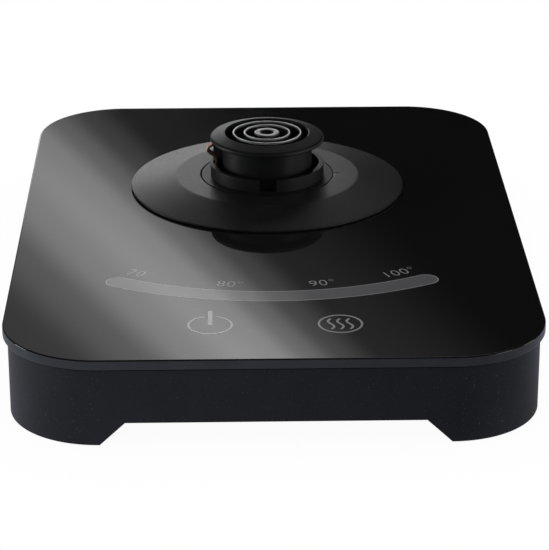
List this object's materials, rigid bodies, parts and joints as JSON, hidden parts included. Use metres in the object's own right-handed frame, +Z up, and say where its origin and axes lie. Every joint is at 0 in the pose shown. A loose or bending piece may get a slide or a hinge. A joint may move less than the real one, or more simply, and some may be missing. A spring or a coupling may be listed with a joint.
{
  "type": "kettle power base",
  "caption": "Low powered base for a cordless electric kettle: black glass touch plate on a matte black housing, with a raised round platform and a 360 degree connector.",
  "frame": {"origin": "middle of the footprint, on the surface that the rubber feet stand on", "axes": "+Z up, the touch controls towards -Y, +X to the right seen from the controls"},
  "size_m": [0.16, 0.225, 0.0467],
  "materials": {
    "black_glass": "black printed tempered glass, mirror polished face, satin ground edge",
    "chassis_plastic": "fine matte moulding",
    "housing_plastic": "fine spark-eroded texture, matte black",
    "base_plastic": "matte black moulding",
    "foot_rubber": "matte black rubber",
    "zinc_screw": "zinc plated",
    "gland_rubber": "matte black rubber",
    "platform_plastic": "grained matte black moulding",
    "seal_rubber": "matte black rubber",
    "connector_plastic": "satin black moulding",
    "bright_steel": "bright pressed steel",
    "copper_spring": "bright copper alloy spring strip",
    "retainer_plastic": "matte dark grey moulding",
    "circuit_board": "green solder resist on glass-epoxy board",
    "light_guide": "milky light-diffusing plastic",
    "relay_blue": "blue moulded case",
    "coil_tape": "yellow winding tape",
    "capacitor_grey": "grey moulded case",
    "terminal_green": "green moulded block",
    "sleeve_black": "black sleeve",
    "fuse_glass": "clear tube",
    "live_insulation": "brown insulation",
    "neutral_insulation": "blue insulation",
    "earth_insulation": "green and yellow insulation",
    "signal_insulation": "white insulation",
    "ribbon_grey": "grey flat cable"
  },
  "bodies": {
    "base": {"glass_top": "black_glass", "upper_chassis": "chassis_plastic", "lower_housing": "housing_plastic", "base_plate": "base_plastic", "foot_pad_front_left": "foot_rubber", "foot_pad_front_right": "foot_rubber", "foot_pad_rear_left": "foot_rubber", "foot_pad_rear_right": "foot_rubber", "housing_screw_1": "zinc_screw", "housing_screw_2": "zinc_screw", "housing_screw_3": "zinc_screw", "housing_screw_4": "zinc_screw", "cord_gland": "gland_rubber", "platform_disc": "platform_plastic", "platform_seal": "seal_rubber", "connector_hub": "connector_plastic", "connector_core": "connector_plastic", "connector_cap": "connector_plastic", "slot_ring_outer": "bright_steel", "slot_ring_inner": "bright_steel", "earth_socket": "bright_steel", "side_terminal": "copper_spring", "live_terminal": "copper_spring", "neutral_terminal": "copper_spring", "signal_terminal": "copper_spring", "core_retainer": "retainer_plastic", "connector_screw_1": "zinc_screw", "connector_screw_2": "zinc_screw", "connector_screw_3": "zinc_screw", "touch_board": "circuit_board", "touch_board_screw_1": "zinc_screw", "touch_board_screw_2": "zinc_screw", "slider_light_guide": "light_guide", "power_light_guide": "light_guide", "warm_light_guide": "light_guide", "power_board": "circuit_board", "power_board_screw_1": "zinc_screw", "power_board_screw_2": "zinc_screw", "relay": "relay_blue", "transformer": "coil_tape", "film_capacitor": "capacitor_grey", "terminal_block": "terminal_green", "bulk_capacitor": "sleeve_black", "fuse": "fuse_glass", "buzzer": "sleeve_black", "live_wire": "live_insulation", "neutral_wire": "neutral_insulation", "earth_wire": "earth_insulation", "signal_wire": "signal_insulation", "ribbon_cable": "ribbon_grey"},
    "side_contact_spring": {"side_contact": "copper_spring"},
    "live_leaf_spring": {"live_leaf": "copper_spring"},
    "neutral_leaf_spring": {"neutral_leaf": "copper_spring"},
    "signal_leaf_spring": {"signal_leaf": "copper_spring"}
  },
  "joints": [
    {"name": "side_contact_press", "type": "hinge", "parent": "base", "child": "side_contact_spring", "pos_m": [-0.017, 0.0305, 0.0339], "axis": [0, 1, 0], "range_deg": [0, 6], "stiffness_Nm_per_rad": 0.05},
    {"name": "live_leaf_press", "type": "hinge", "parent": "base", "child": "live_leaf_spring", "pos_m": [0, 0.0432, 0.024], "axis": [-1, 0, 0], "range_deg": [0, 2.5], "stiffness_Nm_per_rad": 0.05},
    {"name": "neutral_leaf_press", "type": "hinge", "parent": "base", "child": "neutral_leaf_spring", "pos_m": [0.00812, 0.03519, 0.024], "axis": [-0.5, 0.866, 0], "range_deg": [0, 2.5], "stiffness_Nm_per_rad": 0.05},
    {"name": "signal_leaf_press", "type": "hinge", "parent": "base", "child": "signal_leaf_spring", "pos_m": [-0.00498, 0.02763, 0.024], "axis": [0.5, -0.866, 0], "range_deg": [0, 2.5], "stiffness_Nm_per_rad": 0.05}
  ]
}
